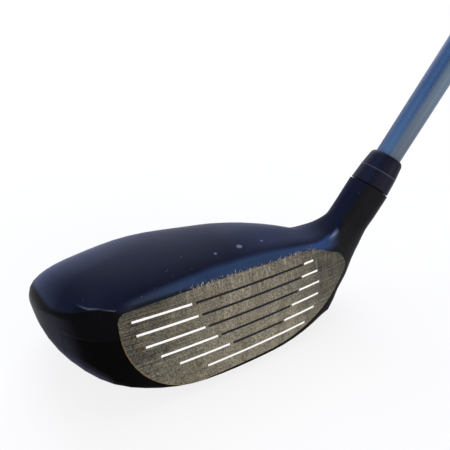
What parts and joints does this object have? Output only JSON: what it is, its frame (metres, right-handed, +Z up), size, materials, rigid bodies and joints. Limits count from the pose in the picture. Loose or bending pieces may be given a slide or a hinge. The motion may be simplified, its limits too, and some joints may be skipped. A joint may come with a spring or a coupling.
{
  "type": "hybrid golf club",
  "caption": "Right-handed hybrid golf club: hollow steel head with a bulged, scored face, an adjustable sleeve hosel with a captive screw, a tapered graphite shaft and a rubber grip.",
  "frame": {"origin": "on the flat patch of the sole that rests on the ground, level with the face centre", "axes": "+Z up from the ground, +X from toe to heel, the face looks to -Y; the club stands at its lie angle"},
  "size_m": [0.6276, 0.055, 0.8671],
  "materials": {
    "head_paint": "satin dark navy paint over cast steel",
    "face_steel": "blasted and brushed steel",
    "white_paint": "white paint fill",
    "dark_paint": "dark paint fill",
    "tungsten": "turned tungsten alloy",
    "screw_steel": "blackened steel",
    "washer_steel": "plain steel",
    "nylon": "natural nylon",
    "sleeve_aluminium": "black anodised",
    "trim": "satin",
    "ferrule_plastic": "satin black",
    "graphite": "gloss slate blue lacquer over graphite",
    "plug": "soft plug",
    "tape": "adhesive tape",
    "grip_rubber": "moulded rubber",
    "cap_rubber": "harder moulded rubber",
    "ring_rubber": "rubber ring"
  },
  "bodies": {
    "shaft_assembly": {"hosel_sleeve": "sleeve_aluminium", "trim_ring": "trim", "ferrule": "ferrule_plastic", "shaft": "graphite", "tip_plug": "plug", "grip_tape": "tape", "grip": "grip_rubber", "grip_cap": "cap_rubber"},
    "head": {"head_body": "head_paint", "face_plate": "face_steel", "score_paint_white": "white_paint", "score_paint_dark": "dark_paint", "sole_weight": "tungsten", "weight_screw": "screw_steel", "weight_ring": "ring_rubber"},
    "hosel_screw": {"hosel_screw": "screw_steel", "screw_washer": "washer_steel", "screw_clip": "nylon"}
  },
  "joints": [
    {"name": "head_slide", "type": "slide", "parent": "shaft_assembly", "child": "head", "axis": [-0.5225, 0, -0.8526], "range_m": [0, 0.008]},
    {"name": "screw_turn", "type": "hinge", "parent": "head", "child": "hosel_screw", "pos_m": [0.03782, 0.0006, 0.01194], "axis": [-0.5225, 0, -0.8526], "range_deg": [0, 3604]}
  ],
  "couplings": [
    {"joint": "screw_turn", "follows": "head_slide", "rad_per_m": 7854}
  ]
}
